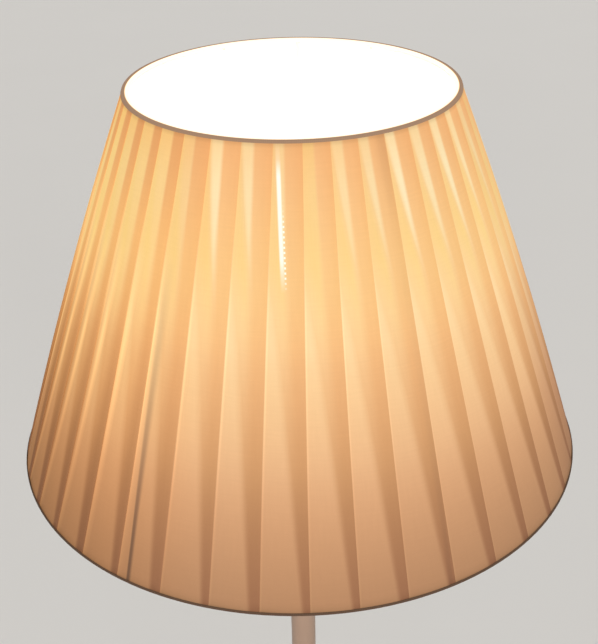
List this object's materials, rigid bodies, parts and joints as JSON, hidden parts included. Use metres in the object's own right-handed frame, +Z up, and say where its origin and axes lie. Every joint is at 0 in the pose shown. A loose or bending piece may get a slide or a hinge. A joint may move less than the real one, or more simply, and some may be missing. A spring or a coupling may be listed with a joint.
{
  "type": "floor lamp",
  "caption": "Floor lamp: knife-pleated conical cloth shade on a wire frame, upright bulb in a switched lampholder, slim tubular stem and a flared weighted round base.",
  "frame": {"origin": "centre of the base, on the floor", "axes": "+Z up along the stem, -Y to the front, where the lampholder's switch points"},
  "size_m": [0.4018, 0.4018, 1.5],
  "materials": {
    "cream_paint": "satin cream paint",
    "white_paint": "white-coated wire",
    "cast_iron": "as cast",
    "steel": "zinc plated",
    "brass": "bright",
    "dark_plastic": "moulded",
    "porcelain": "glazed",
    "solder": "pressed",
    "opal_glass": "opal, lit",
    "pleat_cloth": "plain-woven, pressed into knife pleats",
    "lining_cloth": "thin white lining",
    "binding_tape": "woven tape",
    "felt": "felt",
    "rubber": "matt"
  },
  "bodies": {
    "stand": {"base_cover": "cream_paint", "base_weight": "cast_iron", "felt_ring": "felt", "base_nipple": "steel", "base_nut": "steel", "base_washer": "steel", "lead_gland": "rubber", "supply_lead": "rubber", "stem_tube_1": "cream_paint", "stem_tube_2": "cream_paint", "stem_tube_3": "cream_paint", "stem_coupler_1": "cream_paint", "stem_coupler_2": "cream_paint", "stem_foot": "steel", "stem_cap": "cream_paint", "stem_collar": "cream_paint", "holder_cap": "dark_plastic", "cap_nut": "steel", "holder_nipple": "steel", "holder_shell": "dark_plastic", "holder_insulator": "porcelain", "screw_shell": "brass", "centre_contact": "brass", "lower_shade_ring": "dark_plastic", "upper_shade_ring": "dark_plastic"},
    "turn_switch": {"switch_spindle": "brass", "switch_knob": "dark_plastic"},
    "bulb": {"bulb_globe": "opal_glass", "bulb_cap": "solder", "bulb_insulator": "dark_plastic", "bulb_tip": "solder"},
    "shade": {"pleated_cover": "pleat_cloth", "lining": "lining_cloth", "top_binding": "binding_tape", "bottom_binding": "binding_tape", "top_ring": "white_paint", "bottom_ring": "white_paint", "rib_1": "white_paint", "rib_2": "white_paint", "rib_3": "white_paint", "rib_4": "white_paint", "rib_5": "white_paint", "rib_6": "white_paint", "fitter_arm_1": "white_paint", "fitter_arm_2": "white_paint", "fitter_arm_3": "white_paint", "fitter_ring": "white_paint"}
  },
  "joints": [
    {"name": "shade_turn", "type": "hinge", "parent": "stand", "child": "shade", "pos_m": [0, 0, 1.371], "axis": [0, 0, 1], "continuous": true},
    {"name": "bulb_unscrew", "type": "slide", "parent": "stand", "child": "bulb", "axis": [0, 0, 1], "range_m": [0, 0.03]},
    {"name": "switch_turn", "type": "hinge", "parent": "stand", "child": "turn_switch", "pos_m": [0, -0.03, 1.3435], "axis": [0, -1, 0], "continuous": true}
  ]
}
